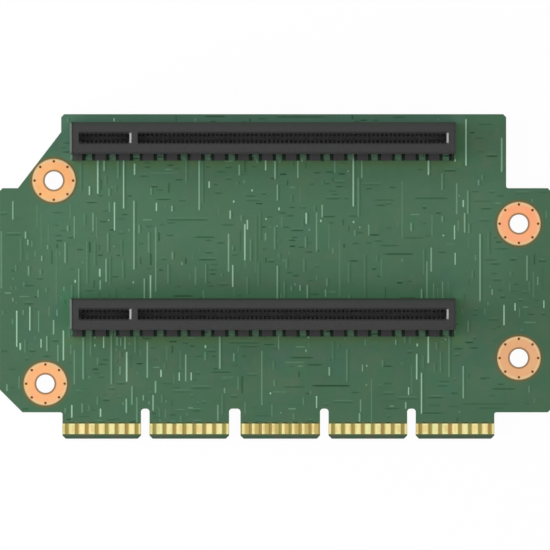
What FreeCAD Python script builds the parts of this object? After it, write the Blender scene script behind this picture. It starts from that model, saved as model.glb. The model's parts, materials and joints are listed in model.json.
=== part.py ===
import FreeCAD, Part
import math
import os
import Sketcher
from FreeCAD import Vector

# Riser card for a server: a printed circuit board with an edge tongue of five gold-fingered
# tabs, two x16 card slots on its face and four plated mounting holes.
#
# Frame: the card lies on its back. +X runs along the card, +Y from the edge tongue to the far
# edge, +Z out of the card's face. The origin is under the middle of the card, on the surface
# that the slots' locating pegs rest on.

SIZES = {
    # printed circuit board
    "card_width": 127.4,
    "card_height": 75.0,
    "card_thickness": 1.57,
    "card_standoff": 0.8,           # the pegs' tips stand this far below the card's back
    "shoulder_drop": 17.1,          # far edge down to the two side shoulders
    "far_left_inset": 14.25,
    "far_right_inset": 10.33,
    "diagonal_drop": 4.12,          # straight run above the slanted left corner
    "diagonal_foot_inset": 4.27,
    "corner_chamfer": 0.7,
    "near_left_chamfer": 5.3,
    "inner_corner_radius": 0.5,
    # edge tongue and its tabs
    "tongue_height": 6.1,
    "tongue_length": 99.78,
    "tongue_shift": 0.74,           # tongue's middle, right of the card's middle
    "notch_depth": 6.94,
    "notch_radius": 0.75,
    "notch_width": 1.98,
    "key_notch_width": 2.64,
    "notch_one_offset": 19.12,      # tongue's left side to each notch's centre line
    "notch_two_offset": 39.81,
    "notch_three_offset": 60.5,
    "notch_four_offset": 80.64,
    "tab_chamfer": 0.74,
    "bevel_height": 1.08,
    "bevel_depth": 0.36,
    # gold fingers
    "finger_pitch": 2.3,
    "finger_width": 1.56,
    "finger_length": 2.43,
    "finger_side_margin": 0.1,
    "copper_thickness": 0.07,
    # plated mounting holes
    "mount_bore_radius": 2.1,
    "mount_pad_radius": 5.06,
    "plating_wall": 0.2,
    "far_left_hole_side_inset": 12.55,
    "far_left_hole_end_inset": 15.34,
    "near_left_hole_side_inset": 10.6,
    "near_left_hole_end_inset": 12.71,
    "right_hole_side_inset": 7.39,
    "far_right_hole_end_inset": 25.31,
    "near_right_hole_end_inset": 18.65,
    # slot housings
    "slot_key_offset": 32.82,       # middle of the contacts' gap, left of the card's middle
    "upper_slot_inset": 5.55,       # slot's centre line, in from the far edge
    "slot_spacing": 40.64,
    "left_end_wall": 2.08,          # housing beyond each end of the slot
    "right_end_wall": 2.07,
    "housing_width": 7.3,
    "housing_height": 11.25,
    "housing_chamfer": 0.45,
    "slot_width": 1.8,
    "slot_floor_height": 3.2,
    "mouth_width": 2.37,
    "mouth_depth": 0.6,
    "mouth_end_chamfer": 0.47,
    "key_width": 1.88,
    "key_shift": 0.15,              # key's middle, right of the middle of the contacts' gap
    "slot_left_margin": 0.99,       # end contact's centre line to the slot's end wall
    "slot_right_margin": 0.86,
    "buttress_reach": 1.55,
    "buttress_height": 6.0,
    "buttress_pitch": 5.5,
    "buttress_gap": 1.5,
    "buttress_slope": 0.8,
    "buttress_left_inset": 0.5,     # housing's end to the row's end, at the card's face
    "buttress_right_inset": 0.2,
    "first_gap_offset": 4.33,       # housing's left end to the first gap's centre line
    "peg_radius": 1.1,
    "peg_hole_clearance": 0.075,
    "peg_end_inset": 1.28,          # far peg's centre, in from the housing's right end
    # spring contacts
    "contact_pitch": 1.0,
    "contact_width": 0.5,
    "contact_side_clearance": 0.08,
    "contact_thickness": 0.2,
    "contact_back_clearance": 0.12,
    "contact_gap": 0.84,            # between the facing contacts of an empty slot
    "contact_point_depth": 3.4,
    "contact_tip_depth": 1.1,
    "contact_tip_setback": 0.2,
}

# Counts fixed by the slot's standard: eleven contacts a side before the key, seventy-one after,
# and three pitches across the key.
POWER_COUNT = 11
SIGNAL_COUNT = 71
KEY_PITCH_COUNT = 3
PEG_SIDE_COUNT = 8
FULL_TURN = 2 * math.pi
HALF = 0.5
CLOSE = 1e-4                        # lengths nearer than this are the same

NODES = []


class Size:
    """A length with its value and the spreadsheet expression that gives it."""

    def __init__(self, value, text):
        self.value = value
        self.text = text

    def join(self, sign, other, value):
        return Size(value, f"({self.text} {sign} {as_size(other).text})")

    def __add__(self, other):
        return self.join("+", other, self.value + as_size(other).value)

    def __sub__(self, other):
        return self.join("-", other, self.value - as_size(other).value)

    def __mul__(self, other):
        return self.join("*", other, self.value * as_size(other).value)

    def __truediv__(self, other):
        return self.join("/", other, self.value / as_size(other).value)

    def __neg__(self):
        return Size(-self.value, f"(0 - {self.text})")


def as_size(number):
    return number if isinstance(number, Size) else Size(float(number), repr(float(number)))


def smaller(one, other):
    return Size(min(one.value, other.value), f"min({one.text}; {other.text})")


def larger(one, other):
    return Size(max(one.value, other.value), f"max({one.text}; {other.text})")


def fill_sheet(sheet):
    """Write each driving dimension as a plain number with its alias."""
    for row, (alias, value) in enumerate(SIZES.items(), start=1):
        sheet.set(f"A{row}", alias)
        sheet.set(f"B{row}", str(value))
        sheet.setAlias(f"B{row}", alias)


doc = FreeCAD.newDocument("RiserCard")
sheet = doc.addObject("Spreadsheet::Sheet", "Sizes")
fill_sheet(sheet)
doc.recompute()


def size(alias):
    return Size(float(sheet.get(alias)), f"Sizes.{alias}")


ZERO = as_size(0)


def bind(thing, name, length):
    thing.setExpression(name, as_size(length).text)


def node(thing, label):
    """Give a finished sub-part the name of its file and node."""
    thing.Label = label
    NODES.append(thing)
    return thing


def place(thing, x=ZERO, y=ZERO, z=ZERO):
    bind(thing, "Placement.Base.x", x)
    bind(thing, "Placement.Base.y", y)
    bind(thing, "Placement.Base.z", z)


# ---- PartDesign helpers -------------------------------------------------------------------


def origin_feature(body, role):
    return next(item for item in body.Origin.OriginFeatures if item.Role == role)


def new_sketch(body, name, plane, height=None):
    """Attach a sketch to one of the body's own origin planes, lifted by height."""
    sketch = body.newObject("Sketcher::SketchObject", name)
    sketch.AttachmentSupport = [(origin_feature(body, plane), "")]
    sketch.MapMode = "FlatFace"
    if height is not None:
        bind(sketch, "AttachmentOffset.Base.z", height)
    return sketch


def pin_point(sketch, geometry, end, point):
    """Hold one end or centre of a sketch element at its two named distances."""
    for kind, length in zip(("DistanceX", "DistanceY"), point):
        index = sketch.addConstraint(
            Sketcher.Constraint(kind, -1, 1, geometry, end, as_size(length).value)
        )
        bind(sketch, f"Constraints[{index}]", length)


def add_polygon(sketch, points):
    """Draw a closed outline through the points and hold every corner."""
    corners = [Vector(as_size(x).value, as_size(y).value, 0) for x, y in points]
    first = sketch.GeometryCount
    count = len(points)
    for index in range(count):
        segment = Part.LineSegment(corners[index], corners[(index + 1) % count])
        sketch.addGeometry(segment, False)
    for index in range(count):
        following = first + (index + 1) % count
        sketch.addConstraint(Sketcher.Constraint("Coincident", first + index, 2, following, 1))
    for index, point in enumerate(points):
        pin_point(sketch, first + index, 1, point)


def add_rectangle(sketch, left, right, near, far):
    add_polygon(sketch, [(left, near), (right, near), (right, far), (left, far)])


def add_circle(sketch, centre, radius):
    x, y = centre
    middle = Vector(as_size(x).value, as_size(y).value, 0)
    circle = sketch.addGeometry(Part.Circle(middle, Vector(0, 0, 1), radius.value), False)
    pin_point(sketch, circle, 3, centre)
    index = sketch.addConstraint(Sketcher.Constraint("Radius", circle, radius.value))
    bind(sketch, f"Constraints[{index}]", radius)


def add_faceted_peg(sketch, middle, radius):
    """Draw a regular polygon about a point on the sketch's X axis, a flat on each side."""
    corners = []
    for step in range(PEG_SIDE_COUNT):
        angle = FULL_TURN * (step + HALF) / PEG_SIDE_COUNT
        corners.append((middle + radius * math.cos(angle), radius * math.sin(angle)))
    add_polygon(sketch, corners)


def pad(body, sketch, length, midplane=False, reverse=False):
    feature = body.newObject("PartDesign::Pad", sketch.Name + "_pad")
    feature.Profile = sketch
    feature.SideType = "Symmetric" if midplane else "One side"
    feature.Reversed = reverse
    bind(feature, "Length", length)
    body.Tip = feature
    return feature


def pocket(body, sketch, length, midplane=False, reverse=False):
    feature = body.newObject("PartDesign::Pocket", sketch.Name + "_pocket")
    feature.Profile = sketch
    feature.SideType = "Symmetric" if midplane else "One side"
    feature.Reversed = reverse
    bind(feature, "Length", length)
    body.Tip = feature
    return feature


def row_of(body, feature, pitch, count):
    """Repeat a feature along the body's X axis."""
    pattern = body.newObject("PartDesign::LinearPattern", feature.Name + "_row")
    pattern.Originals = [feature]
    pattern.Direction = (origin_feature(body, "X_Axis"), [""])
    pattern.Occurrences = count
    bind(pattern, "Length", pitch * (count - 1))
    body.Tip = pattern
    return pattern


def edges_where(feature, test):
    """Names of the feature's straight edges that pass a test on their two ends."""
    doc.recompute()
    names = []
    for index, edge in enumerate(feature.Shape.Edges, start=1):
        if len(edge.Vertexes) == 2 and test(edge.Vertexes[0].Point, edge.Vertexes[1].Point):
            names.append(f"Edge{index}")
    return names


def dress(body, kind, base, names, length):
    """Fillet or chamfer the named edges of the feature below."""
    feature = body.newObject(f"PartDesign::{kind}", f"{base.Name}_{kind.lower()}")
    feature.Base = (base, names)
    bind(feature, "Radius" if kind == "Fillet" else "Size", length)
    body.Tip = feature
    return feature


def same(one, other):
    return abs(one - other) < CLOSE


def upright(one, other):
    """True of an edge that runs along Z."""
    return same(one.x, other.x) and same(one.y, other.y) and not same(one.z, other.z)


# ---- places worked out from the sizes -----------------------------------------------------

CARD_LEFT = -size("card_width") / 2
CARD_RIGHT = size("card_width") / 2
CARD_NEAR = -size("card_height") / 2
CARD_FAR = size("card_height") / 2
CARD_BACK = size("card_standoff")
CARD_FACE = CARD_BACK + size("card_thickness")
SHOULDER_Y = CARD_FAR - size("shoulder_drop")
TONGUE_Y = CARD_NEAR + size("tongue_height")
TONGUE_LEFT = size("tongue_shift") - size("tongue_length") / 2
TONGUE_RIGHT = size("tongue_shift") + size("tongue_length") / 2
FAR_LEFT = CARD_LEFT + size("far_left_inset")
FAR_RIGHT = CARD_RIGHT - size("far_right_inset")

NOTCHES = [
    (size("notch_one_offset"), size("notch_width")),
    (size("notch_two_offset"), size("key_notch_width")),
    (size("notch_three_offset"), size("notch_width")),
    (size("notch_four_offset"), size("notch_width")),
]
RIGHT_HOLE_X = CARD_RIGHT - size("right_hole_side_inset")
HOLES = [
    (CARD_LEFT + size("far_left_hole_side_inset"), CARD_FAR - size("far_left_hole_end_inset")),
    (CARD_LEFT + size("near_left_hole_side_inset"), CARD_NEAR + size("near_left_hole_end_inset")),
    (RIGHT_HOLE_X, CARD_FAR - size("far_right_hole_end_inset")),
    (RIGHT_HOLE_X, CARD_NEAR + size("near_right_hole_end_inset")),
]
KEY_X = -size("slot_key_offset")
UPPER_SLOT_Y = CARD_FAR - size("upper_slot_inset")
SLOTS = {"upper": UPPER_SLOT_Y, "lower": UPPER_SLOT_Y - size("slot_spacing")}

KEY_SPAN = size("contact_pitch") * KEY_PITCH_COUNT
POWER_FIRST = -KEY_SPAN / 2 - size("contact_pitch") * (POWER_COUNT - 1)
SIGNAL_FIRST = KEY_SPAN / 2
SIGNAL_LAST = SIGNAL_FIRST + size("contact_pitch") * (SIGNAL_COUNT - 1)
SECTIONS = {
    "power": (POWER_FIRST, POWER_COUNT),
    "signal": (SIGNAL_FIRST, SIGNAL_COUNT),
}

# Along the slot, measured from the middle of the contacts' gap.
SLOT_START = POWER_FIRST - size("slot_left_margin")
SLOT_END = SIGNAL_LAST + size("slot_right_margin")
HOUSING_START = SLOT_START - size("left_end_wall")
HOUSING_END = SLOT_END + size("right_end_wall")
PEGS = (ZERO, HOUSING_END - size("peg_end_inset"))


def notch_sides(index):
    offset, width = NOTCHES[index]
    middle = TONGUE_LEFT + offset
    return middle - width / 2, middle + width / 2


def tab_sides():
    """Left and right side of each of the five tabs."""
    lefts = [TONGUE_LEFT] + [notch_sides(index)[1] for index in range(len(NOTCHES))]
    rights = [notch_sides(index)[0] for index in range(len(NOTCHES))] + [TONGUE_RIGHT]
    return list(zip(lefts, rights))


# ---- printed circuit board ----------------------------------------------------------------


def card_outline():
    """The board's outline, clockwise from the far left corner, with its cut corners."""
    cut = size("corner_chamfer")
    foot = CARD_LEFT + size("diagonal_foot_inset")
    shoulder = TONGUE_LEFT - CARD_LEFT - size("inner_corner_radius") - cut
    big_cut = smaller(size("near_left_chamfer"), shoulder)
    return [
        (FAR_LEFT + cut, CARD_FAR),
        (FAR_RIGHT - cut, CARD_FAR),
        (FAR_RIGHT, CARD_FAR - cut),
        (FAR_RIGHT, SHOULDER_Y),
        (CARD_RIGHT - cut, SHOULDER_Y),
        (CARD_RIGHT, SHOULDER_Y - cut),
        (CARD_RIGHT, TONGUE_Y + cut),
        (CARD_RIGHT - cut, TONGUE_Y),
        (TONGUE_RIGHT, TONGUE_Y),
        (TONGUE_RIGHT, CARD_NEAR),
        (TONGUE_LEFT, CARD_NEAR),
        (TONGUE_LEFT, TONGUE_Y),
        (CARD_LEFT + big_cut, TONGUE_Y),
        (CARD_LEFT, TONGUE_Y + big_cut),
        (CARD_LEFT, SHOULDER_Y - cut),
        (CARD_LEFT + cut, SHOULDER_Y),
        (foot, SHOULDER_Y),
        (FAR_LEFT, CARD_FAR - size("diagonal_drop")),
        (FAR_LEFT, CARD_FAR - cut),
    ]


def inner_corner(one, other):
    """The three upright edges in the outline's inner corners."""
    corners = (
        (FAR_RIGHT.value, SHOULDER_Y.value),
        (TONGUE_RIGHT.value, TONGUE_Y.value),
        (TONGUE_LEFT.value, TONGUE_Y.value),
    )
    return upright(one, other) and any(same(one.x, x) and same(one.y, y) for x, y in corners)


def build_board():
    body = doc.addObject("PartDesign::Body", "board")
    outline = new_sketch(body, "outline", "XY_Plane")
    add_polygon(outline, card_outline())
    plate = pad(body, outline, size("card_thickness"))
    rounded = dress(
        body, "Fillet", plate, edges_where(plate, inner_corner), size("inner_corner_radius")
    )

    notches = new_sketch(body, "notches", "XY_Plane")
    notch_top = CARD_NEAR + size("notch_depth")
    for index in range(len(NOTCHES)):
        left, right = notch_sides(index)
        add_rectangle(notches, left, right, CARD_NEAR - size("tab_chamfer"), notch_top)
    cut = pocket(body, notches, size("card_thickness"), reverse=True)
    tops = edges_where(cut, lambda a, b: upright(a, b) and same(a.y, notch_top.value))
    rounded = dress(body, "Fillet", cut, tops, size("notch_radius"))
    tips = edges_where(rounded, lambda a, b: upright(a, b) and same(a.y, CARD_NEAR.value))
    tipped = dress(body, "Chamfer", rounded, tips, size("tab_chamfer"))

    bevel = new_sketch(body, "bevel", "YZ_Plane")
    bevel_top = CARD_NEAR + size("bevel_height")
    depth = size("bevel_depth")
    over = size("bevel_depth")
    face = size("card_thickness")
    add_polygon(bevel, [(bevel_top, ZERO), (CARD_NEAR, depth), (CARD_NEAR - over, depth),
                        (CARD_NEAR - over, -over), (bevel_top, -over)])
    add_polygon(bevel, [(bevel_top, face), (CARD_NEAR, face - depth),
                        (CARD_NEAR - over, face - depth), (CARD_NEAR - over, face + over),
                        (bevel_top, face + over)])
    pocket(body, bevel, size("card_width") * 2, midplane=True)

    holes = new_sketch(body, "holes", "XY_Plane")
    for centre in HOLES:
        add_circle(holes, centre, size("mount_bore_radius") + size("plating_wall"))
    for slot_y in SLOTS.values():
        for offset in PEGS:
            add_circle(
                holes, (KEY_X + offset, slot_y), size("peg_radius") + size("peg_hole_clearance")
            )
    pocket(body, holes, size("card_thickness"), reverse=True)
    place(body, z=CARD_BACK)
    return node(body, "board")


# ---- slot housings ------------------------------------------------------------------------


def slot_sections():
    """Left and right end of the slot before and after the key."""
    half_key = size("key_width") / 2
    return [(SLOT_START, size("key_shift") - half_key), (size("key_shift") + half_key, SLOT_END)]


def count_within(start, pitch):
    """Whole pitches from a place along the slot to the housing's right end."""
    return int((HOUSING_END.value - start.value) / pitch.value)


def build_housing(name, slot_y):
    """Moulded insulator: local origin on the card's face, under the key's centre line."""
    body = doc.addObject("PartDesign::Body", f"{name}_slot_housing")
    half_width = size("housing_width") / 2
    height = size("housing_height")

    block_plan = new_sketch(body, f"{name}_block", "XY_Plane")
    add_rectangle(block_plan, HOUSING_START, HOUSING_END, -half_width, half_width)
    block = pad(body, block_plan, height)
    rim = edges_where(block, lambda a, b: same(a.z, height.value) and same(b.z, height.value))
    dress(body, "Chamfer", block, rim, size("housing_chamfer"))

    # A ledge along the near side with sloped ends, cut into buttresses by sloped gaps.
    top = size("buttress_height")
    slope = size("buttress_slope")
    ledge_start = HOUSING_START + size("buttress_left_inset")
    ledge_end = HOUSING_END - size("buttress_right_inset")
    ledge_profile = new_sketch(body, f"{name}_ledge", "XZ_Plane", height=half_width)
    add_polygon(ledge_profile, [(ledge_start, ZERO), (ledge_end, ZERO),
                                (ledge_end - slope, top), (ledge_start + slope, top)])
    pad(body, ledge_profile, size("buttress_reach"))
    gap_profile = new_sketch(body, f"{name}_gap", "XZ_Plane", height=half_width)
    middle = HOUSING_START + size("first_gap_offset")
    half_gap = size("buttress_gap") / 2
    add_polygon(gap_profile, [(middle - half_gap, ZERO), (middle + half_gap, ZERO),
                              (middle + half_gap + slope, top), (middle - half_gap - slope, top)])
    gap = pocket(body, gap_profile, size("buttress_reach"), reverse=True)
    row_of(body, gap, size("buttress_pitch"), 1 + count_within(middle, size("buttress_pitch")))

    # The wide mouth, the lead-in at the right end of each section, then the slot that guides
    # the card.
    mouth_plan = new_sketch(body, f"{name}_mouth", "XY_Plane", height=height)
    half_mouth = size("mouth_width") / 2
    for start, end in slot_sections():
        add_rectangle(mouth_plan, start, end, -half_mouth, half_mouth)
    mouth = pocket(body, mouth_plan, size("mouth_depth"))
    ends = [end.value for start, end in slot_sections()]
    lips = edges_where(mouth, lambda a, b: same(a.z, height.value) and same(b.z, height.value)
                       and same(a.x, b.x) and any(same(a.x, x) for x in ends))
    dress(body, "Chamfer", mouth, lips, size("mouth_end_chamfer"))
    slot_plan = new_sketch(body, f"{name}_slot", "XY_Plane", height=height)
    half_slot = size("slot_width") / 2
    for start, end in slot_sections():
        add_rectangle(slot_plan, start, end, -half_slot, half_slot)
    slot_depth = height - size("slot_floor_height")
    pocket(body, slot_plan, slot_depth)

    # One cavity on each side of the slot for every pair of contacts, with ribs between.
    half_cavity = size("contact_width") / 2 + size("contact_side_clearance")
    for section, (first, count) in SECTIONS.items():
        cavity_plan = new_sketch(body, f"{name}_{section}_cavity", "XY_Plane", height=height)
        add_rectangle(cavity_plan, first - half_cavity, first + half_cavity,
                      -half_mouth, half_mouth)
        cavity = pocket(body, cavity_plan, slot_depth)
        row_of(body, cavity, size("contact_pitch"), count)

    pegs = new_sketch(body, f"{name}_pegs", "XY_Plane")
    for offset in PEGS:
        add_faceted_peg(pegs, offset, size("peg_radius"))
    pad(body, pegs, CARD_FACE, reverse=True)
    place(body, KEY_X, slot_y, CARD_FACE)
    return node(body, f"{name}_slot_housing")


# ---- spring contacts ----------------------------------------------------------------------


def build_contacts(name, section, side, slot_y):
    """The contacts of one section on one side: side is 1 for the slot's far side, -1 for near."""
    label = f"{name}_slot_{section}_contacts_{'a' if side > 0 else 'b'}"
    first, count = SECTIONS[section]
    top = size("housing_height")
    heel = (size("mouth_width") / 2 - size("contact_back_clearance")) * side
    touch = size("contact_gap") / 2 * side
    leaf = size("contact_thickness") * side
    tip = heel - size("contact_tip_setback") * side
    body = doc.addObject("PartDesign::Body", label)
    profile = new_sketch(body, f"{label}_leaf", "YZ_Plane", height=first)
    # A leaf that stands on the cavity's floor, leans into the slot and flares back at its tip.
    add_polygon(profile, [
        (heel, size("slot_floor_height")),
        (touch, top - size("contact_point_depth")),
        (tip, top - size("contact_tip_depth")),
        (touch + leaf, top - size("contact_point_depth")),
    ])
    blade = pad(body, profile, size("contact_width"), midplane=True)
    row_of(body, blade, size("contact_pitch"), count)
    place(body, KEY_X, slot_y, CARD_FACE)
    return node(body, label)


# ---- gold fingers and plated holes --------------------------------------------------------


def finger_spans(left, right, phase):
    """Fingers on one pitch about the tab's middle; what crosses a margin is cut back to it."""
    pitch = size("finger_pitch")
    width = size("finger_width")
    margin = size("finger_side_margin")
    middle = (left + right) / 2
    reach = int((right.value - left.value) / pitch.value / 2) + 1
    spans = []
    for step in range(-reach, reach + 1):
        centre = middle + pitch * (step + phase)
        start = larger(centre - width / 2, left + margin)
        end = smaller(centre + width / 2, right - margin)
        if end.value - start.value > margin.value:
            spans.append((start, end))
    return spans


def build_fingers(side, number, left, right, phase):
    """The fingers on one face of one tab, each a plate of its own."""
    on_front = side == "front"
    bottom = CARD_NEAR + size("bevel_height")
    level = CARD_FACE if on_front else CARD_BACK - size("copper_thickness")
    plates = []
    for start, end in finger_spans(left, right, phase):
        plate = doc.addObject("Part::Box", f"{side}_finger_{number}")
        bind(plate, "Length", end - start)
        bind(plate, "Width", size("finger_length"))
        bind(plate, "Height", size("copper_thickness"))
        place(plate, start, bottom, level)
        plates.append(plate)
    group = doc.addObject("Part::Compound", f"edge_fingers_{side}_{number}")
    group.Links = plates
    return node(group, f"edge_fingers_{side}_{number}")


def build_rings():
    """A plated barrel with a pad on each face, in every mounting hole."""
    bore = size("mount_bore_radius")
    layer = size("copper_thickness")
    rings = []
    for x, y in HOLES:
        pads = []
        for level in (CARD_BACK - layer, CARD_FACE):
            disc = doc.addObject("Part::Cylinder", "mounting_pad")
            bind(disc, "Radius", size("mount_pad_radius"))
            bind(disc, "Height", layer)
            place(disc, x, y, level)
            pads.append(disc)
        barrel = doc.addObject("Part::Cylinder", "mounting_barrel")
        bind(barrel, "Radius", bore + size("plating_wall"))
        bind(barrel, "Height", size("card_thickness") + layer * 2)
        place(barrel, x, y, CARD_BACK - layer)
        solid = doc.addObject("Part::MultiFuse", "mounting_metal")
        solid.Shapes = pads + [barrel]
        solid.Refine = True
        hole = doc.addObject("Part::Cylinder", "mounting_bore")
        bind(hole, "Radius", bore)
        bind(hole, "Height", CARD_FACE + layer * 2)
        place(hole, x, y)
        ring = doc.addObject("Part::Cut", "mounting_ring")
        ring.Base = solid
        ring.Tool = hole
        rings.append(ring)
    group = doc.addObject("Part::Compound", "mounting_rings")
    group.Links = rings
    return node(group, "mounting_rings")


# ---- assembly, checks and export ----------------------------------------------------------


def build_card():
    build_board()
    for name, slot_y in SLOTS.items():
        build_housing(name, slot_y)
        for section in SECTIONS:
            for side in (1, -1):
                build_contacts(name, section, side, slot_y)
    middle_tab = len(tab_sides()) // 2
    for side in ("front", "back"):
        for index, (left, right) in enumerate(tab_sides()):
            phase = HALF if index == middle_tab else 0
            build_fingers(side, index + 1, left, right, phase)
    build_rings()
    doc.recompute()


def check_document():
    for thing in doc.Objects:
        if "Invalid" in thing.State or "Error" in thing.State:
            raise RuntimeError(f"{thing.Label} failed: {thing.State}")
    for thing in NODES:
        if thing.Shape.isNull() or not thing.Shape.isValid():
            raise RuntimeError(f"{thing.Label} has no valid shape")


def export_parts():
    os.makedirs("parts", exist_ok=True)
    for thing in NODES:
        thing.Shape.exportStep(f"parts/{thing.Label}.step")
        box = thing.Shape.BoundBox
        print(f"{thing.Label}: {len(thing.Shape.Solids)} solids, "
              f"{box.XLength:.2f} x {box.YLength:.2f} x {box.ZLength:.2f} mm")


build_card()
check_document()
export_parts()
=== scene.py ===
import json
import math
import random

import bmesh
import bpy
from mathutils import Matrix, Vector
from mathutils.bvhtree import BVHTree


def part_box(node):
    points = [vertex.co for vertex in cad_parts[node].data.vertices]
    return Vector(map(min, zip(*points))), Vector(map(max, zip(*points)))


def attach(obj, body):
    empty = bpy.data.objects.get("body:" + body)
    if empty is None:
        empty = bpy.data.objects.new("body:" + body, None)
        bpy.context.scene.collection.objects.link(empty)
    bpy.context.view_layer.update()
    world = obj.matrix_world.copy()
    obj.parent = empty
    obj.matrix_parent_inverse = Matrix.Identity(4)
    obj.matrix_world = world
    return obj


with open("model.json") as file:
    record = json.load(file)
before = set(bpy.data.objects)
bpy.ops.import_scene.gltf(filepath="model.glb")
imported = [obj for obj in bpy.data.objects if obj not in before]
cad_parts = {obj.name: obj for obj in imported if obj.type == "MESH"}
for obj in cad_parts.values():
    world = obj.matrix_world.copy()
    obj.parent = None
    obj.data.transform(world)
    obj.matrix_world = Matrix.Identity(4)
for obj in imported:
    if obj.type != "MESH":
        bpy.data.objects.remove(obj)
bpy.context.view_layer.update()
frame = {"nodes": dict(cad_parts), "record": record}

MM = 0.001
nodes = frame["nodes"]
record = frame["record"]

# ---- places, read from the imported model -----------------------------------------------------

board_low, board_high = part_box("board")
FACE = board_high.z
BACK = board_low.z
mounts = {m["name"]: Vector(m["pos_m"]) for m in record["mounts"]}
PADS = [mounts[n] for n in sorted(mounts) if n.endswith("_hole")]
PAD_RADIUS = 5.06 * MM
BORE_RADIUS = 2.1 * MM
SLOT_Y = {n: mounts[f"{n}_card_slot"].y for n in ("upper", "lower")}
HOUSING = {n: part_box(f"{n}_slot_housing") for n in ("upper", "lower")}
finger_low, finger_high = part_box("edge_fingers_front_1")
FINGER_NEAR = finger_low.y
FINGER_FAR = finger_high.y
TOP = HOUSING["upper"][1].z
PITCH = 1.0 * MM
FINGER_PITCH = 2.3 * MM
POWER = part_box("upper_slot_power_contacts_a")
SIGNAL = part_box("upper_slot_signal_contacts_a")
# The slot's two sections, before and after the key.
SECTIONS = ((POWER[0].x - 0.76 * MM, POWER[1].x + 0.46 * MM),
            (SIGNAL[0].x - 0.18 * MM, SIGNAL[1].x + 0.6 * MM))
# Each slot section ends in a sloped ramp: where it starts in X, and its width.
RAMPS = tuple((box[1].x + 0.35 * MM, 0.75 * MM) for box in (POWER, SIGNAL))


def linear(level):
    """sRGB level 0..255 to a linear value."""
    c = level / 255
    return c / 12.92 if c <= 0.04045 else ((c + 0.055) / 1.055) ** 2.4


def rgb(red, green, blue):
    return (linear(red), linear(green), linear(blue), 1.0)


# ---- node materials ---------------------------------------------------------------------------


class Shade:
    """A node material on object coordinates, which here are the row frame's metres."""

    def __init__(self, name):
        self.mat = bpy.data.materials.new(name)
        self.mat.use_nodes = True
        self.tree = self.mat.node_tree
        self.bsdf = self.tree.nodes["Principled BSDF"]
        coord = self.tree.nodes.new("ShaderNodeTexCoord")
        self.at = coord.outputs["Object"]

    def new(self, kind, **inputs):
        n = self.tree.nodes.new(kind)
        for key, value in inputs.items():
            setattr(n, key, value)
        return n

    def link(self, a, b):
        self.tree.links.new(a, b)

    def put(self, socket, value):
        if isinstance(value, bpy.types.NodeSocket):
            self.link(value, socket)
        else:
            socket.default_value = value

    def math(self, op, a, b=0.0, c=None):
        n = self.new("ShaderNodeMath", operation=op)
        self.put(n.inputs[0], a)
        self.put(n.inputs[1], b)
        if c is not None:
            self.put(n.inputs[2], c)
        return n.outputs[0]

    def times(self, first, *others):
        """Product of two or more values."""
        for other in others:
            first = self.math("MULTIPLY", first, other)
        return first

    def ramp(self, value, low, high, a=0.0, b=1.0):
        """Smooth step of value from a at low to b at high."""
        n = self.new("ShaderNodeMapRange", interpolation_type="SMOOTHSTEP")
        self.put(n.inputs["Value"], value)
        n.inputs["From Min"].default_value = low
        n.inputs["From Max"].default_value = high
        n.inputs["To Min"].default_value = a
        n.inputs["To Max"].default_value = b
        return n.outputs["Result"]

    def band(self, value, low, high, soft):
        """One inside low..high, zero outside, with soft edges."""
        rise = self.ramp(value, low - soft, low + soft)
        fall = self.ramp(value, high - soft, high + soft, 1.0, 0.0)
        return self.times(rise, fall)

    def noise(self, scale, detail=2.0, stretch=None, rough=0.5, shift=0.0):
        n = self.new("ShaderNodeTexNoise")
        n.inputs["Scale"].default_value = scale
        n.inputs["Detail"].default_value = detail
        n.inputs["Roughness"].default_value = rough
        at = self.at
        if stretch or shift:
            m = self.new("ShaderNodeMapping")
            m.inputs["Scale"].default_value = stretch or (1, 1, 1)
            m.inputs["Location"].default_value = (shift, shift, shift)
            self.link(at, m.inputs["Vector"])
            at = m.outputs["Vector"]
        self.link(at, n.inputs["Vector"])
        return n.outputs["Fac"]

    def xyz(self):
        n = self.new("ShaderNodeSeparateXYZ")
        self.link(self.at, n.inputs[0])
        return n.outputs

    def normal(self):
        """X, Y and Z of the face's normal."""
        part = self.new("ShaderNodeSeparateXYZ")
        self.link(self.new("ShaderNodeNewGeometry").outputs["Normal"], part.inputs[0])
        return part.outputs

    def mix(self, fac, a, b):
        n = self.new("ShaderNodeMix", data_type="RGBA")
        self.put(n.inputs["Factor"], fac)
        self.put(n.inputs[6], a)
        self.put(n.inputs[7], b)
        return n.outputs[2]

    def flat_radius(self, centres):
        """Distance in the XY plane to the nearest of the centres."""
        x, y, _ = self.xyz()
        flat = self.new("ShaderNodeCombineXYZ")
        self.link(x, flat.inputs[0])
        self.link(y, flat.inputs[1])
        best = None
        for c in centres:
            d = self.new("ShaderNodeVectorMath", operation="DISTANCE")
            self.link(flat.outputs[0], d.inputs[0])
            d.inputs[1].default_value = (c.x, c.y, 0)
            best = d.outputs["Value"] if best is None else self.math(
                "MINIMUM", best, d.outputs["Value"])
        return best

    def bump(self, height, strength, distance):
        n = self.new("ShaderNodeBump")
        n.inputs["Strength"].default_value = strength
        n.inputs["Distance"].default_value = distance
        self.link(height, n.inputs["Height"])
        self.link(n.outputs["Normal"], self.bsdf.inputs["Normal"])

    def finish(self, color, rough, metallic=0.0, specular=0.5):
        self.put(self.bsdf.inputs["Base Color"], color)
        self.put(self.bsdf.inputs["Roughness"], rough)
        self.bsdf.inputs["Metallic"].default_value = metallic
        self.bsdf.inputs["Specular IOR Level"].default_value = specular
        return self.mat


def upward(s):
    """One on faces that look up or down, zero on the side walls."""
    return s.ramp(s.math("ABSOLUTE", s.normal()[2]), 0.2, 0.5)


WEAVE = 9000.0                  # glass cloth, radians to the metre
LAYER = 0.26 * MM               # one layer of the card, as its side walls show it


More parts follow.
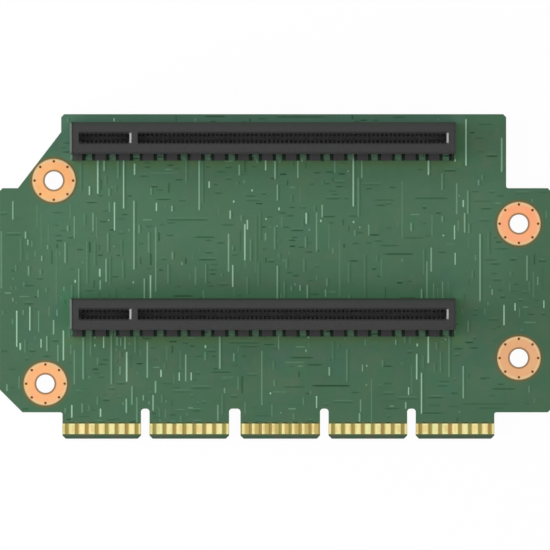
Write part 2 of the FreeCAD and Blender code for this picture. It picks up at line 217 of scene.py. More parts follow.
def board_material():
    s = Shade("solder_mask")
    x, y, z = s.xyz()
    blotch = s.ramp(s.noise(70, 3.0), 0.3, 0.7)
    green = s.mix(blotch, rgb(65, 99, 75), rgb(70, 105, 80))
    # Slow drifts of hue, towards teal, olive and grass green.
    for scale, shift, share, tint in ((130, 3.0, 0.5, rgb(60, 104, 86)),
                                      (150, 9.0, 0.5, rgb(82, 106, 74)),
                                      (240, 6.0, 0.4, rgb(58, 108, 72)),
                                      (300, 14.0, 0.4, rgb(84, 104, 86))):
        drift = s.ramp(s.noise(scale, 1.5, shift=shift), 0.46, 0.76)
        green = s.mix(s.times(drift, share), green, tint)
    # The stretch between the slots is a little paler.
    middle = s.band(y, HOUSING["lower"][1].y + 4 * MM, HOUSING["upper"][0].y - 4 * MM, 4 * MM)
    green = s.mix(s.times(middle, 0.4), green, rgb(76, 114, 88))
    # Towards the card's ends and its edge tongue it is a little darker.
    outer = s.ramp(s.math("ABSOLUTE", x), 50 * MM, 60 * MM, 0.0, 0.45)
    tongue = s.ramp(y, FINGER_FAR + 3 * MM, FINGER_FAR + 12 * MM, 0.4, 0.0)
    green = s.mix(s.math("MAXIMUM", outer, tongue), green, rgb(60, 92, 68))
    fine = s.ramp(s.noise(2600, 2.0), 0.3, 0.7)
    green = s.mix(s.times(fine, 0.12), green, rgb(52, 86, 62))
    front = s.ramp(z, FACE - 0.2 * MM, FACE - 0.1 * MM)
    # Painted shade round the housings: the mask is tinted a fuller green beside them and olive in
    # front of them.
    for name, (low, high) in HOUSING.items():
        beyond_x = s.math("MAXIMUM", s.math("SUBTRACT", low.x, x), s.math("SUBTRACT", x, high.x))
        beyond_y = s.math("SUBTRACT", y, high.y)
        before_y = s.math("SUBTRACT", low.y, y)
        away = s.math("MAXIMUM", s.math("MAXIMUM", beyond_x, 0.0), beyond_y)
        beside = s.ramp(s.math("MAXIMUM", away, before_y), 0.2 * MM, 3.4 * MM, 0.75, 0.0)
        behind = s.ramp(y, high.y - 0.4 * MM, high.y + 0.4 * MM)
        left = s.ramp(x, low.x - 0.5 * MM, low.x + 0.5 * MM, 1.0, 0.0)
        painted_shade_green = s.mix(s.math("MAXIMUM", behind, left), rgb(68, 112, 74),
                       rgb(76, 116, 98) if name == "upper" else rgb(64, 116, 82))
        green = s.mix(s.times(beside, front), green, painted_shade_green)
        away = s.math("MAXIMUM", s.math("MAXIMUM", beyond_x, 0.0), before_y)
        before = s.ramp(away, 0.2 * MM, 2.6 * MM, 0.8, 0.0)
        below = s.ramp(y, low.y - 0.1 * MM, low.y + 0.1 * MM, 1.0, 0.0)
        green = s.mix(s.times(before, below, front), green, rgb(78, 106, 72))
    # Light scattered up between the ledges' blocks.
    for low, high in HOUSING.values():
        between = s.band(y, low.y + 0.3 * MM, low.y + 1.5 * MM, 0.2 * MM)
        along = s.band(x, low.x, high.x, 0.2 * MM)
        green = s.mix(s.times(between, along, front, 0.8), green, rgb(112, 146, 124))
    # The mask's edge above the fingers, the laminate between them, and painted shade that darkens
    # the bevel.
    warm = s.band(y, FINGER_FAR - 0.2 * MM, FINGER_FAR + 0.45 * MM, 0.35 * MM)
    green = s.mix(s.times(warm, 0.9), green, rgb(76, 92, 56))
    strip = s.ramp(s.noise(1500, 2.0, stretch=(1, 0.05, 0.05)), 0.35, 0.65)
    laminate = s.mix(strip, rgb(166, 136, 76), rgb(148, 146, 78))
    green = s.mix(s.ramp(y, FINGER_FAR - 0.05 * MM, FINGER_FAR + 0.03 * MM, 1.0, 0.0),
                  green, laminate)
    low = s.ramp(s.noise(260, 2.0, stretch=(1, 0.2, 0.2)), 0.35, 0.65)
    bevel = s.mix(low, rgb(54, 82, 60), rgb(70, 80, 66))
    edge = s.ramp(y, FINGER_NEAR - 0.45 * MM, FINGER_NEAR, 0.0, 0.8)
    bevel = s.mix(edge, bevel, rgb(98, 100, 62))
    green = s.mix(s.ramp(y, FINGER_NEAR - 0.06 * MM, FINGER_NEAR + 0.02 * MM, 1.0, 0.0),
                  green, bevel)
    # The mask's edge round each mounting pad.
    radius = s.flat_radius(PADS)
    ring = s.ramp(radius, PAD_RADIUS + 0.3 * MM, PAD_RADIUS + 0.75 * MM, 1.0, 0.0)
    green = s.mix(ring, green, rgb(96, 92, 56))
    layers = s.band(s.math("FRACT", s.times(z, 1 / LAYER)), 0.35, 0.6, 0.1)
    side = s.mix(s.ramp(s.noise(900, 2.0, stretch=(1, 1, 6)), 0.3, 0.7),
                 rgb(92, 104, 66), rgb(116, 118, 76))
    side = s.mix(s.times(layers, 0.4), side, rgb(84, 84, 48))
    color = s.mix(upward(s), side, green)
    weave = s.math("ADD", s.math("SINE", s.times(x, WEAVE)), s.math("SINE", s.times(y, WEAVE)))
    height = s.math("MULTIPLY_ADD", weave, 0.12, s.noise(1800, 3.0))
    s.bump(height, 0.10, 0.02 * MM)
    rough = s.ramp(s.noise(600, 2.0), 0.2, 0.8, 0.42, 0.56)
    return s.finish(color, rough, specular=0.22)


def housing_material():
    s = Shade("moulded_black")
    x, y, z = s.xyz()
    grain = s.ramp(s.noise(3200, 3.0), 0.3, 0.7)
    flow = s.ramp(s.noise(120, 2.0, stretch=(0.3, 2, 1)), 0.3, 0.7)
    dark = s.mix(grain, rgb(52, 52, 53), rgb(59, 59, 59))
    dark = s.mix(s.times(flow, 0.3), dark, rgb(63, 60, 61))
    tint = s.ramp(s.noise(260, 2.0, shift=4.0), 0.45, 0.7)
    dark = s.mix(s.times(tint, 0.35), dark, rgb(53, 58, 54))
    on_top = s.ramp(z, TOP - 0.5 * MM, TOP - 0.46 * MM)
    lead_in = s.times(s.ramp(z, TOP - 0.62 * MM, TOP - 0.58 * MM),
                      s.ramp(z, TOP - 0.06 * MM, TOP - 0.02 * MM, 1.0, 0.0))
    deep = s.ramp(z, TOP - 0.9 * MM, TOP - 0.6 * MM, 1.0, 0.0)
    for name, mid in SLOT_Y.items():
        low, high = HOUSING[name]
        along = s.band(x, low.x + 1.0 * MM, high.x - 1.0 * MM, 0.05 * MM)
        inside = s.times(along, s.band(y, mid - 1.3 * MM, mid + 1.3 * MM, 0.05 * MM))
        # Painted shade darkens the slot's lips and lead-in edges; painted light makes its walls and
        # floor greyer.
        sections = s.math("MAXIMUM", *(s.band(x, start, end, 0.05 * MM) for start, end in SECTIONS))
        lips = s.times(sections, s.band(y, mid - 1.46 * MM, mid + 1.43 * MM, 0.1 * MM))
        dark = s.mix(s.times(lips, on_top, 0.85), dark, rgb(32, 32, 32))
        dark = s.mix(s.times(inside, lead_in), dark, rgb(50, 50, 50))
        dark = s.mix(s.times(deep, inside), dark, rgb(94, 94, 94))
        # Painted highlight on the ramps that lead a card into each section's right end.
        aside = s.math("SUBTRACT", y, mid)
        for (start, width), bow in zip(RAMPS, (0.0, 227.0)):
            bowed = s.math("MULTIPLY_ADD", s.times(aside, aside), -bow, x)
            ramp = s.band(bowed, start, start + width, 0.03 * MM)
            dark = s.mix(s.times(ramp, inside, lead_in), dark, rgb(146, 146, 146))
        # Painted shade along the far edge, a painted highlight on the bevel and a fine dark line at
        # the left end.
        row = s.band(y, low.y, high.y, 0.05 * MM)
        back = s.ramp(y, high.y - 1.4 * MM, high.y - 0.1 * MM)
        dark = s.mix(s.times(back, row, 0.7), dark, rgb(42, 54, 44))
        bevel = s.band(x, low.x - 0.1 * MM, low.x + 0.42 * MM, 0.03 * MM)
        dark = s.mix(s.times(bevel, on_top, row, 0.9), dark, rgb(80, 92, 82))
        left_dark_line = s.band(x, low.x + 0.62 * MM, low.x + 0.82 * MM, 0.05 * MM)
        dark = s.mix(s.times(left_dark_line, on_top, row, 0.6), dark, rgb(20, 22, 20))
    # Painted shade on the blocks under the housing: on their sloped sides, darker where they face
    # left, and on the whole of the last one.
    facing = s.normal()
    sloped = s.times(s.ramp(s.math("ABSOLUTE", facing[0]), 0.1, 0.3),
                     s.ramp(s.math("ABSOLUTE", facing[2]), 0.03, 0.08))
    below = s.ramp(z, FACE + 6.2 * MM, FACE + 6.3 * MM, 1.0, 0.0)
    last = s.ramp(x, HOUSING["upper"][1].x - 1.5 * MM, HOUSING["upper"][1].x - 1.3 * MM)
    blocks = s.math("MAXIMUM", *(s.band(y, low.y, low.y + 1.6 * MM, 0.03 * MM)
                                 for low, high in HOUSING.values()))
    last = s.times(last, blocks)
    # Where the painted shade falls on the blocks.
    dull = s.times(below, s.math("MAXIMUM", sloped, last))
    leftward = s.ramp(facing[0], -0.3, -0.1, 1.0, 0.0)
    flank_shade_color = s.mix(leftward, rgb(46, 56, 48), rgb(26, 32, 28))
    dark = s.mix(s.times(dull, 0.8), dark, flank_shade_color)
    s.bump(s.noise(4200, 3.0), 0.12, 0.02 * MM)
    rough = s.ramp(s.noise(900, 2.0), 0.2, 0.8, 0.42, 0.55)
    return s.finish(dark, rough, specular=0.15)


def contact_material():
    s = Shade("dull_contact")
    tone = s.ramp(s.noise(2500, 2.0), 0.3, 0.7)
    color = s.mix(tone, rgb(84, 82, 78), rgb(100, 96, 90))
    s.bump(s.noise(6000, 2.0), 0.08, 0.01 * MM)
    return s.finish(color, s.ramp(tone, 0, 1, 0.4, 0.55), metallic=0.6)


WHOLE_TURNS = 40.0              # keeps the fingers' phase above zero over the whole card


def gold_material(name, first):
    """Gold plate with painted shade along its long edges; first is the middle of one finger in X.
    """
    s = Shade(name)
    x, y, _ = s.xyz()
    tone = s.ramp(s.noise(760, 2.0, stretch=(1, 0.1, 0.1)), 0.36, 0.64)
    color = s.mix(tone, rgb(222, 200, 132), rgb(244, 226, 160))
    cool = s.ramp(s.noise(520, 2.0, stretch=(1, 0.3, 0.3), shift=5.0), 0.45, 0.68)
    color = s.mix(s.times(cool, 0.7), color, rgb(222, 232, 168))
    tan = s.ramp(s.noise(700, 2.0, stretch=(1, 0.12, 0.12), shift=8.0), 0.52, 0.72)
    color = s.mix(s.times(tan, 0.45), color, rgb(216, 184, 116))
    end = s.band(y, FINGER_NEAR + 0.35 * MM, FINGER_FAR - 0.35 * MM, 0.3 * MM)
    color = s.mix(end, rgb(224, 228, 168), color)
    phase = s.math("FRACT", s.math("MULTIPLY_ADD", x, 1 / FINGER_PITCH,
                                   0.5 - first / FINGER_PITCH + WHOLE_TURNS))
    # Painted shade along each finger's long edges.
    off = s.times(s.math("ABSOLUTE", s.math("SUBTRACT", phase, 0.5)), FINGER_PITCH)
    rim = s.ramp(off, 0.42 * MM, 0.8 * MM, 0.0, 0.85)
    color = s.mix(rim, color, rgb(182, 162, 88))
    s.bump(s.noise(5000, 2.0, stretch=(1, 0.1, 1)), 0.05, 0.01 * MM)
    rough = s.ramp(s.noise(1500, 2.0), 0.2, 0.8, 0.3, 0.42)
    return s.finish(color, rough, metallic=0.75)


# Lower left, lower right, upper left and upper right pad.
PAD_TINTS = (rgb(232, 180, 130), rgb(212, 164, 124), rgb(232, 178, 118), rgb(242, 158, 120))
PAD_SHARES = (0.4, 0.65, 0.4, 0.6)


def copper_material():
    s = Shade("ring_copper")
    radius = s.flat_radius(PADS)
    warm = s.ramp(s.noise(160, 2.0), 0.35, 0.65)
    color = s.mix(warm, rgb(250, 172, 112), rgb(248, 184, 124))
    pink = s.ramp(s.noise(400, 3.0, shift=2.0), 0.5, 0.72)
    color = s.mix(s.times(pink, 0.6), color, rgb(250, 172, 140))
    gold = s.ramp(s.noise(450, 3.0, shift=7.0), 0.52, 0.72)
    color = s.mix(s.times(gold, 0.6), color, rgb(254, 186, 104))
    # The plating differs a little from pad to pad.
    for centre, tint, share in zip(PADS, PAD_TINTS, PAD_SHARES):
        near = s.ramp(s.flat_radius([centre]), PAD_RADIUS, 2 * PAD_RADIUS, share, 0.0)
        color = s.mix(near, color, tint)
    # A paler rim with a darker outer edge, and a darker lip round the bore.
    rim = s.ramp(radius, PAD_RADIUS - 0.85 * MM, PAD_RADIUS - 0.35 * MM)
    color = s.mix(s.times(rim, 0.9), color, rgb(222, 194, 148))
    edge = s.ramp(radius, PAD_RADIUS - 0.32 * MM, PAD_RADIUS - 0.08 * MM)
    color = s.mix(s.times(edge, 0.6), color, rgb(148, 126, 86))
    lip = s.ramp(radius, BORE_RADIUS + 0.3 * MM, BORE_RADIUS + 0.55 * MM, 1.0, 0.0)
    color = s.mix(lip, color, rgb(156, 122, 90))
    s.bump(s.noise(2600, 3.0), 0.08, 0.01 * MM)
    rough = s.ramp(s.noise(900, 2.0), 0.2, 0.8, 0.34, 0.48)
    return s.finish(color, rough, metallic=0.7)


def plain_material(name, one, other, rough=0.5, metallic=0.0, scale=900, specular=0.3):
    s = Shade(name)
    tone = s.ramp(s.noise(scale, 2.0), 0.3, 0.7)
    s.bump(s.noise(scale * 3, 2.0), 0.08, 0.01 * MM)
    return s.finish(s.mix(tone, one, other), s.ramp(tone, 0, 1, rough - 0.05, rough + 0.05),
                    metallic=metallic, specular=specular)


materials = {
    "board": board_material(),
    "slot_housing": housing_material(),
    "contact": contact_material(),
    "copper": copper_material(),
}
slot_of = {p["node"]: p["material_slot"] for p in record["subparts"]}


def islands(obj):
    """Box of each separate solid in a node's mesh, from left to right."""
    bm = bmesh.new()
    bm.from_mesh(obj.data)
    seen, found = set(), []
    for start in bm.verts:
        if start in seen:
            continue
        seen.add(start)
        stack, group = [start], []
        while stack:
            v = stack.pop()
            group.append(v.co.copy())
            for e in v.link_edges:
                w = e.other_vert(v)
                if w not in seen:
                    seen.add(w)
                    stack.append(w)
        found.append((Vector([min(c[k] for c in group) for k in range(3)]),
                      Vector([max(c[k] for c in group) for k in range(3)])))
    bm.free()
    return sorted(found, key=lambda box: box[0].x)


FINGERS = {name: islands(obj) for name, obj in nodes.items()
           if slot_of[name] == "finger_gold"}
GOLD = {}
for name, boxes in FINGERS.items():
    whole = boxes[len(boxes) // 2]
    GOLD[name] = gold_material(f"gold_{name}", (whole[0].x + whole[1].x) / 2)
for name, obj in nodes.items():
    obj.data.materials.clear()
    obj.data.materials.append(GOLD[name] if name in GOLD else materials[slot_of[name]])
    for polygon in obj.data.polygons:
        polygon.material_index = 0

# ---- pieces -------------------------------------------------------------------------------------


def finish_piece(name, bm, mats):
    mesh = bpy.data.meshes.new(name)
    bm.to_mesh(mesh)
    bm.free()
    obj = bpy.data.objects.new(name, mesh)
    bpy.context.scene.collection.objects.link(obj)
    for m in mats:
        mesh.materials.append(m)
    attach(obj, "root")
    return obj


def board_tree():
    mesh = nodes["board"].data
    bm = bmesh.new()
    bm.from_mesh(mesh)
    tree = BVHTree.FromBMesh(bm)
    bm.free()
    return tree


TREE = board_tree()


def on_board(x, y):
    """True where the face of the board lies under the point."""
    hit = TREE.ray_cast(Vector((x, y, FACE + 5 * MM)), Vector((0, 0, -1)))
    return hit[0] is not None and abs(hit[0].z - FACE) < 0.01 * MM


def raise_outline(bm, outline, base, lift, slot_index):
    """A thin plate over an outline; its hidden side, on the card, stays open."""
    lower = [bm.verts.new((px, py, base)) for px, py in outline]
    upper = [bm.verts.new((px, py, base + lift)) for px, py in outline]
    faces = [bm.faces.new(upper if lift > 0 else upper[::-1])]
    for i in range(len(outline)):
        j = (i + 1) % len(outline)
        quad = [lower[i], lower[j], upper[j], upper[i]]
        faces.append(bm.faces.new(quad if lift > 0 else quad[::-1]))
    for f in faces:
        f.material_index = slot_index


def strip(bm, x0, y0, x1, y1, width, base, lift, slot_index, tip=1.0):
    """A thin raised line with rounded ends, tip times as wide there, lift above its base."""
    along = Vector((x1 - x0, y1 - y0, 0))
    reach = min(0.9 * MM, along.length * 0.4)
    along.normalize()
    across = Vector((-along.y, along.x, 0))
    half = width / 2
    outline = []
    for end, sign in ((Vector((x1, y1, 0)), 1), (Vector((x0, y0, 0)), -1)):
        for step in range(5):
            a = math.pi * (step / 4 - 0.5)
            v = end + (along * math.cos(a) + across * math.sin(a)) * sign * half * tip
            outline.append((v.x, v.y))
        if tip < 1.0:
            far = Vector((x0, y0, 0)) if sign > 0 else Vector((x1, y1, 0))
            for place, step in ((end, -reach), (far, reach)):
                v = place + along * step * sign + across * half * sign
                outline.append((v.x, v.y))
    raise_outline(bm, outline, base, lift, slot_index)


def clear_of_pads(x, y, gap):
    return all((Vector((x, y, 0)) - Vector((p.x, p.y, 0))).length > PAD_RADIUS + gap
               for p in PADS)


def under_housing(x, y):
    return any(low.x < x < high.x and low.y + 1.6 * MM < y < high.y
               for low, high in HOUSING.values())


def free_line(x0, y0, x1, y1):
    """True if the whole line lies on the board, off the pads and off the fingers."""
    if under_housing(x0, y0) and under_housing(x1, y1):
        return False
    for step in range(9):
        t = step / 8
        x, y = x0 + (x1 - x0) * t, y0 + (y1 - y0) * t
        if not clear_of_pads(x, y, 0.75 * MM) or y < FINGER_FAR - 0.01 * MM:
            return False
        if not all(on_board(x + dx * MM, y + dy * MM)
                   for dx, dy in ((0.25, 0), (-0.25, 0), (0, 0.2), (0, -0.2))):
            return False
    return True


def tone_material(name, lift):
    """The board's green made paler or darker by the same amount in each channel; the lines stand
    partly for copper under the mask and partly for painted highlight and painted shade of raised
    ridges.
    """
    red, green, blue = 68 + lift, 106 + lift, 79 + lift
    return plain_material(name, rgb(red - 2, green - 2, blue - 2),
                          rgb(red + 3, green + 3, blue + 3), specular=0.22)


PALE_LIFTS = (8, 14, 22, 33, 50, 76)
DARK_LIFTS = (-10, -16, -24, -36)
TONES = ([tone_material(f"trace_pale_{n}", lift) for n, lift in enumerate(PALE_LIFTS)]
         + [tone_material(f"trace_dark_{n}", lift) for n, lift in enumerate(DARK_LIFTS)])
PALE_WEIGHTS = (22, 18, 17, 15, 13, 15)
DARK_WEIGHTS = (28, 36, 28, 8)
FIRST_DARK = len(PALE_LIFTS)
CELL = 0.5 * MM                 # grid that keeps the lines apart
GROUPS = 54
GROUP_SHARE = 0.62              # of the lines lie near a group's middle
GROUP_SPREAD = (4.5 * MM, 3.5 * MM)
EMPTIER_RIGHT = 0.35            # of the lines that would reach the right edge are left out
MOST_TRIES = 20000
KINDS = (("upright", 320), ("level", 290), ("upright_dark", 46), ("level_pale", 26), ("via", 70))
LAST_FAINT = 2                  # pale level lines are no paler; paler upright lines run longer
TRACE_LIFT = 0.02 * MM
# Shares of that lift; lines that may cross have different ones, so no faces coincide.
RELIEF_SHARE, CORNER_SHARE, END_PAD_SHARE = 0.6, 0.8, 1.3
RELIEF_SIDE = 0.5 * MM          # from a line's middle to its relief's middle
RELIEF_WIDTH = 0.24 * MM
END_PAD_WIDTH = 0.44 * MM


def pale_tone(rng):
    return rng.choices(range(FIRST_DARK), PALE_WEIGHTS)[0]


def dark_tone(rng):
    return FIRST_DARK + rng.choices(range(len(DARK_LIFTS)), DARK_WEIGHTS)[0]


def run_length(rng, short_share, longest, mean):
    if rng.random() < short_share:
        return rng.uniform(0.5, 1.6) * MM
    return min(1.6 + rng.expovariate(1 / mean), longest) * MM


def cells(x0, y0, x1, y1):
    """Cells of a square grid that a level or upright line passes."""
    i0, i1 = sorted((math.floor(x0 / CELL), math.floor(x1 / CELL)))
    j0, j1 = sorted((math.floor(y0 / CELL), math.floor(y1 / CELL)))
    return {(i, j) for i in range(i0, i1 + 1) for j in range(j0, j1 + 1)}


def around(taken, x0, y0, x1, y1):
    """True where another line already lies in or next to the line's cells."""
    return any((i + di, j + dj) in taken for i, j in cells(x0, y0, x1, y1)
               for di, dj in ((0, 0), (1, 0), (-1, 0), (0, 1), (0, -1)))


def traces(name, base, lift, seed, density):
    rng = random.Random(seed)
    bm = bmesh.new()
    low, high = board_low, board_high
    taken = set()
    # Lines gather in loose groups, with calmer places between them.
    groups = [(rng.uniform(low.x, high.x), rng.uniform(low.y, high.y)) for _ in range(GROUPS)]
    for kind, count in KINDS:
        made = 0
        tries = 0
        while made < int(count * density) and tries < MOST_TRIES:
            tries += 1
            if rng.random() < GROUP_SHARE:
                middle_x, middle_y = rng.choice(groups)
                x = rng.gauss(middle_x, GROUP_SPREAD[0])
                y = rng.gauss(middle_y, GROUP_SPREAD[1])
            else:
                x = rng.uniform(low.x, high.x)
                y = rng.uniform(low.y, high.y)
            # The right side of the card is a little emptier.
            if rng.random() < EMPTIER_RIGHT * max(0.0, x / high.x):
                continue
            tone = pale_tone(rng)
            if kind == "via":
                reach = rng.uniform(0.02, 0.5) * MM
                ends = (x, y, x, y + reach)
                width = rng.uniform(0.32, 0.48) * MM
            elif kind.startswith("upright"):
                reach = run_length(rng, 0.34, 13.0, 3.8)
                if tone > LAST_FAINT:
                    reach *= 1.2
                if kind == "upright_dark":
                    tone = dark_tone(rng)
                ends = (x, y, x, y + reach)
                width = rng.uniform(0.26, 0.42) * MM
            else:
                reach = run_length(rng, 0.34, 11.0, 4.0)
                tone = min(tone, LAST_FAINT) if kind == "level_pale" else dark_tone(rng)
                ends = (x, y, x + reach, y)
                width = rng.uniform(0.28, 0.44) * MM
            if around(taken, *ends) or not free_line(*ends):
                continue
            tip = rng.uniform(0.25, 0.6)
            if kind != "level" or reach < 1.4 * MM:
                tip = 1.0
                width = min(width, 0.38 * MM)
            strip(bm, *ends, width, base, lift, tone, tip)
            made += 1
            joined = cells(*ends)
            # Relief: a faint shadow right of an upright line, a faint glint above a level one.
            if kind == "upright" and rng.random() < 0.5:
                side = x + RELIEF_SIDE
                if free_line(side, y, side, ends[3]):
                    strip(bm, side, y, side, ends[3], RELIEF_WIDTH, base,
                          lift * RELIEF_SHARE, FIRST_DARK)
            if kind == "level" and rng.random() < 0.4:
                side = y + RELIEF_SIDE
                if free_line(x, side, ends[2], side):
                    strip(bm, x, side, ends[2], side, RELIEF_WIDTH, base,
                          lift * RELIEF_SHARE, 0, 0.4)
            # Some lines end in a small round pad, or turn a corner.
            if kind == "upright" and rng.random() < 0.07:
                strip(bm, x, ends[3], x, ends[3] + 0.02 * MM, END_PAD_WIDTH, base,
                      lift * END_PAD_SHARE, tone)
            if kind == "upright" and rng.random() < 0.25:
                turn = rng.choice((-1, 1)) * run_length(rng, 0.5, 5.0, 1.6)
                corner = (x, y, x + turn, y)
                if free_line(*corner) and not around(taken - joined, *corner):
                    strip(bm, *corner, width, base, lift * CORNER_SHARE, dark_tone(rng), 0.5)
                    joined |= cells(*corner)
            taken |= joined
    return finish_piece(name, bm, TONES)


traces("traces_front", FACE, TRACE_LIFT, 11, 1.0)
traces("traces_back", BACK, -TRACE_LIFT, 23, 0.8)


ROOT_LENGTH = 0.17 * MM
ROOT_LIFT = 0.05 * MM           # under the fingers' own 0.07 mm


def finger_roots(name, side, base, lift):
    """The upper ends of the fingers, where their plating runs in under the mask's edge."""
    bm = bmesh.new()
    mats = []
    for node in sorted(FINGERS):
        if not node.startswith(f"edge_fingers_{side}"):
            continue
        for low, high in FINGERS[node]:
            strip_box(bm, low.x, high.y, high.x, high.y + ROOT_LENGTH, base, lift, len(mats))
        mats.append(GOLD[node])
    return finish_piece(name, bm, mats)


def strip_box(bm, x0, y0, x1, y1, base, lift, slot_index):
    """A thin plate with its far corners cut, lift above or below its base."""
    cut = 0.08 * MM
    outline = [(x0, y0), (x1, y0), (x1, y1 - cut), (x1 - cut, y1), (x0 + cut, y1), (x0, y1 - cut)]
    raise_outline(bm, outline, base, lift, slot_index)


finger_roots("finger_roots_front", "front", FACE, ROOT_LIFT)
finger_roots("finger_roots_back", "back", BACK, -ROOT_LIFT)


VIA_COUNT = 8
VIA_CIRCLE = 4.45 * MM          # pad's middle to each via's middle
VIA_RIM = 0.62 * MM
VIA_HOLE = 0.34 * MM
VIA_LIFT = 0.02 * MM


def pad_vias(name, base, lift):
    """Small stitching holes round each mounting pad, shown by a rim and a dark middle of painted
    shade where the hole is.
    """
    bm = bmesh.new()
    for p in PADS:
        for step in range(VIA_COUNT):
            a = step * math.tau / VIA_COUNT
            x = p.x + VIA_CIRCLE * math.cos(a)
            y = p.y + VIA_CIRCLE * math.sin(a)
            strip(bm, x, y - 0.01 * MM, x, y + 0.01 * MM, VIA_RIM, base, lift, 0)
            strip(bm, x, y - 0.01 * MM, x, y + 0.01 * MM, VIA_HOLE, base, lift * 1.5, 1)
    rim = plain_material(f"{name}_rim", rgb(142, 84, 32), rgb(126, 72, 26), specular=0.1)
    hole = plain_material(f"{name}_hole", rgb(104, 56, 18), rgb(88, 48, 14), specular=0.1)
    return finish_piece(name, bm, [rim, hole])


pad_low, pad_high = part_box("mounting_rings")
pad_vias("pad_vias_front", pad_high.z, VIA_LIFT)
pad_vias("pad_vias_back", pad_low.z, -VIA_LIFT)


def slot_lips(name, slot_y):
    """Narrow ledges in the slot's mouth, which cover the outer ends of the cavities."""
    bm = bmesh.new()
    high, low = TOP - 0.56 * MM, TOP - 0.7 * MM
    for box, before in ((POWER, 0.72), (SIGNAL, 0.14)):
        start, end = box[0].x - before * MM, box[1].x + 0.3 * MM
        for side in (-1, 1):
            reach = 0.99 if side > 0 else 1.1
            inner, outer = slot_y + side * reach * MM, slot_y + side * 1.185 * MM
            edge = inner + side * 0.04 * MM
            profile = ((outer, low), (inner, low), (inner, high - 0.04 * MM), (edge, high),
                       (outer, high))
            rings = [[bm.verts.new((x, y, z)) for y, z in profile] for x in (start, end)]
            bm.faces.new(rings[0])
            bm.faces.new(rings[1][::-1])
            for i in range(len(profile)):
                j = (i + 1) % len(profile)
                bm.faces.new((rings[0][i], rings[1][i], rings[1][j], rings[0][j]))
    bmesh.ops.recalc_face_normals(bm, faces=bm.faces)
    return finish_piece(name, bm, [materials["slot_housing"]])


for side, slot_y in SLOT_Y.items():
    slot_lips(f"{side}_slot_lips", slot_y)


# Radius and height of a joint's rings in millimetres, up to the clipped tail.
JOINT_RINGS = ((0.46, 0.0), (0.4, 0.1), (0.27, 0.24), (0.16, 0.34))
TAIL_RADIUS = 0.15
JOINT_SIDES = 10
JOINT_ROWS = (1.25, 3.1)        # from the slot's middle, every other contact in each


def solder_joints(name, slot_y, seed):
    """The joints and clipped tails of one slot's contacts, on the card's back."""
    rng = random.Random(seed)
    bm = bmesh.new()
    places = []
    for box in (POWER, SIGNAL):
        count = round((box[1].x - box[0].x) / PITCH) + 1
        first = (box[0].x + box[1].x) / 2 - (count - 1) * PITCH / 2
        places += [first + n * PITCH for n in range(count)]
    for n, x in enumerate(places):
        for side in (-1, 1):
            reach = JOINT_ROWS[n % 2]
            y = slot_y + side * reach * MM
            turn = rng.uniform(0, math.pi)
            tall = rng.uniform(0.5, 0.6) * MM
            profile = JOINT_RINGS + ((TAIL_RADIUS, tall / MM),)
            rings = []
            for radius, depth in profile:
                ring = []
                for k in range(JOINT_SIDES):
                    a = turn + k * math.tau / JOINT_SIDES
                    r = radius * MM * (1 + rng.uniform(-0.04, 0.04))
                    ring.append(bm.verts.new((x + r * math.cos(a), y + r * math.sin(a),
                                              BACK - depth * MM)))
                rings.append(ring)
            for one, other in zip(rings, rings[1:]):
                for k in range(JOINT_SIDES):
                    j = (k + 1) % JOINT_SIDES
                    bm.faces.new((one[k], other[k], other[j], one[j]))
            bm.faces.new(rings[-1][::-1])
    bmesh.ops.recalc_face_normals(bm, faces=bm.faces)
    for f in bm.faces:
        f.smooth = True
    return finish_piece(name, bm, [SOLDER])


SOLDER = plain_material("solder", rgb(168, 170, 172), rgb(196, 198, 200), rough=0.34,
                        metallic=0.85, scale=2600)
for side, slot_y in SLOT_Y.items():
    solder_joints(f"{side}_slot_joints", slot_y, 31 if side == "upper" else 37)

# ---- floor, light and camera --------------------------------------------------------------------


FLOOR_HALF = 6.0                # half the floor's side, in metres
FLOOR_GLOW = 0.95               # share of plain white in what the camera sees of it
SOFT_LIGHT = 0.40               # the room's light on the object


def either(tree, one, other):
    """One where either of two ray kinds or sides is one."""
    most = tree.nodes.new("ShaderNodeMath")
    most.operation = "MAXIMUM"
    tree.links.new(one, most.inputs[0])
    tree.links.new(other, most.inputs[1])
    return most.outputs[0]


def blend(tree, share, one, other):
    """The first shader where share is zero, the other where it is one."""
    mix = tree.nodes.new("ShaderNodeMixShader")
    tree.links.new(share, mix.inputs[0])
    tree.links.new(one.outputs[0], mix.inputs[1])
    tree.links.new(other.outputs[0], mix.inputs[2])
    return mix


def make_floor():
    mesh = bpy.data.meshes.new("floor")
    half = FLOOR_HALF
    mesh.from_pydata([(-half, -half, 0), (half, -half, 0), (half, half, 0), (-half, half, 0)],
                     [], [(0, 1, 2, 3)])
    floor = bpy.data.objects.new("floor", mesh)
    bpy.context.scene.collection.objects.link(floor)
    mat = bpy.data.materials.new("floor_white")
    mat.use_nodes = True
    tree = mat.node_tree
    tree.nodes.clear()
    out = tree.nodes.new("ShaderNodeOutputMaterial")
    diffuse = tree.nodes.new("ShaderNodeBsdfDiffuse")
    diffuse.inputs["Color"].default_value = (0.9, 0.9, 0.9, 1)
    glow = tree.nodes.new("ShaderNodeEmission")
    glow.inputs["Color"].default_value = (1, 1, 1, 1)
    glow.inputs["Strength"].default_value = 1.0
    path = tree.nodes.new("ShaderNodeLightPath")
    share = tree.nodes.new("ShaderNodeMath")
    share.operation = "MULTIPLY"
    share.inputs[1].default_value = FLOOR_GLOW
    tree.links.new(either(tree, path.outputs["Is Camera Ray"], path.outputs["Is Glossy Ray"]),
                   share.inputs[0])
    seen = blend(tree, share.outputs[0], diffuse, glow)
    # Seen from below it is clear, and it lets the light underneath reach the card's back.
    side = tree.nodes.new("ShaderNodeNewGeometry")
    through = either(tree, side.outputs["Backfacing"], path.outputs["Is Shadow Ray"])
    clear = tree.nodes.new("ShaderNodeBsdfTransparent")
    tree.links.new(blend(tree, through, seen, clear).outputs[0], out.inputs["Surface"])
    mesh.materials.append(mat)


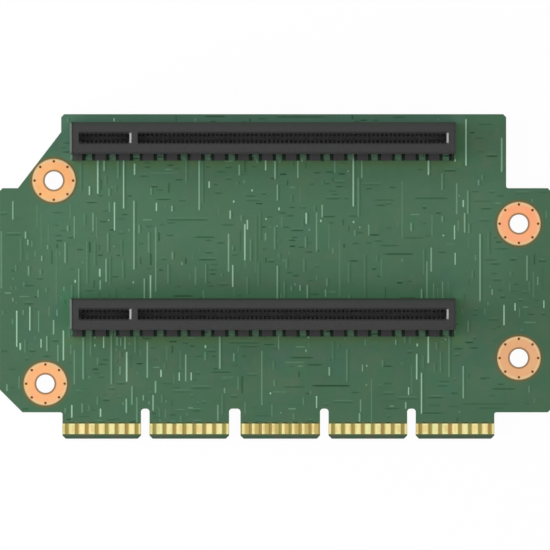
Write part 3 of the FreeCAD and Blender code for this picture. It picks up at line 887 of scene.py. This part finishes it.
def make_world():
    world = bpy.data.worlds.new("studio")
    bpy.context.scene.world = world
    world.use_nodes = True
    tree = world.node_tree
    tree.nodes.clear()
    out = tree.nodes.new("ShaderNodeOutputWorld")
    soft = tree.nodes.new("ShaderNodeBackground")
    soft.inputs["Color"].default_value = (1, 1, 1, 1)
    soft.inputs["Strength"].default_value = SOFT_LIGHT
    white = tree.nodes.new("ShaderNodeBackground")
    white.inputs["Color"].default_value = (1, 1, 1, 1)
    white.inputs["Strength"].default_value = 1.0
    path = tree.nodes.new("ShaderNodeLightPath")
    more = either(tree, path.outputs["Is Glossy Ray"], path.outputs["Is Transmission Ray"])
    white_rays = either(tree, path.outputs["Is Camera Ray"], more)
    tree.links.new(blend(tree, white_rays, soft, white).outputs[0], out.inputs["Surface"])


def add_lamp(name, data):
    """A lamp that neither the camera nor a mirrored ray sees."""
    lamp = bpy.data.objects.new(name, data)
    lamp.visible_glossy = False
    lamp.visible_camera = False
    bpy.context.scene.collection.objects.link(lamp)
    return lamp


def area_light(name, place, target, size, power):
    data = bpy.data.lights.new(name, "AREA")
    data.shape = "RECTANGLE"
    data.size, data.size_y = size
    data.energy = power
    lamp = add_lamp(name, data)
    lamp.location = place
    lamp.rotation_mode = "QUATERNION"
    lamp.rotation_quaternion = (Vector(target) - Vector(place)).to_track_quat("-Z", "Y")


def broad_light(name, power, spread, turn):
    """A broad, even light from straight above, or from below where turned over."""
    data = bpy.data.lights.new(name, "SUN")
    data.energy = power
    data.angle = math.radians(spread)
    add_lamp(name, data).rotation_euler = (math.radians(turn), 0, 0)


FRAME_WIDTH = 127.09 * MM       # what the picture's width takes in at the card's face
AIM = (-0.046 * MM, 0.333 * MM)


def make_camera():
    data = bpy.data.cameras.new("camera")
    data.sensor_width = 36.0
    data.lens = 1600.0
    distance = data.lens / data.sensor_width * FRAME_WIDTH
    data.clip_start = 0.1
    data.clip_end = distance + 1.0
    camera = bpy.data.objects.new("camera", data)
    camera.location = (*AIM, FACE + distance)
    bpy.context.scene.collection.objects.link(camera)
    bpy.context.scene.camera = camera


make_floor()
make_world()
broad_light("overhead", 1.17, 50, 0)
broad_light("underneath", 1.9, 50, 180)
area_light("left_softbox", (-0.6, 0.0, 0.16), (0, 0, 0), (0.7, 0.3), 5.4)
make_camera()

scene = bpy.context.scene
scene.view_settings.view_transform = "Standard"
